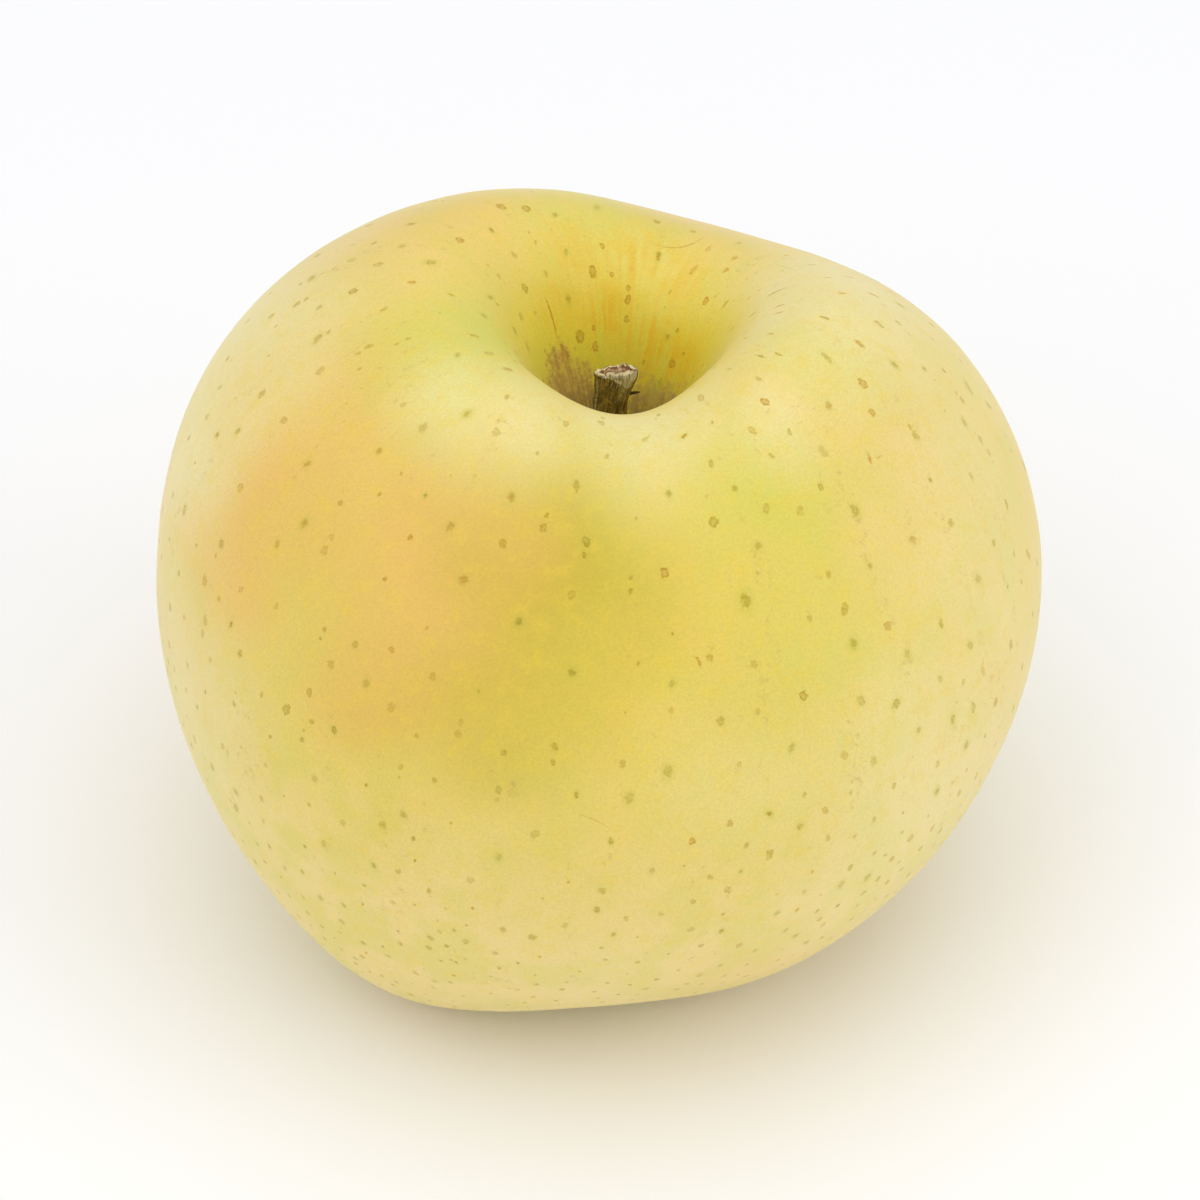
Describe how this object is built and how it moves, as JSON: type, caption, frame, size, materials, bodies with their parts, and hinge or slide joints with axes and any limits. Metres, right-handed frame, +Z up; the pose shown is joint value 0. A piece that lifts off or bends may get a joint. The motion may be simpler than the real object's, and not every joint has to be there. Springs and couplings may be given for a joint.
{
  "type": "whole yellow apple",
  "caption": "Whole pale yellow apple with a lobed crown, a deep funnel-shaped stem pit, a short cut woody stem stub and a dried calyx in the base.",
  "frame": {"origin": "on the surface that the apple stands on, under the middle of its box", "axes": "+Z up through the stem pit, -Y towards the side that the picture shows, +X to the right of that view"},
  "size_m": [0.0806, 0.0804, 0.0644],
  "materials": {
    "skin": "satin waxy skin, pale yellow with green and peach tints and small brown spots",
    "stem_wood": "dry bark with a pale fibrous cut end",
    "dried_calyx": "dry, brown and matte"
  },
  "bodies": {
    "root": {"fruit": "skin", "stem": "stem_wood", "calyx": "dried_calyx"}
  },
  "joints": []
}
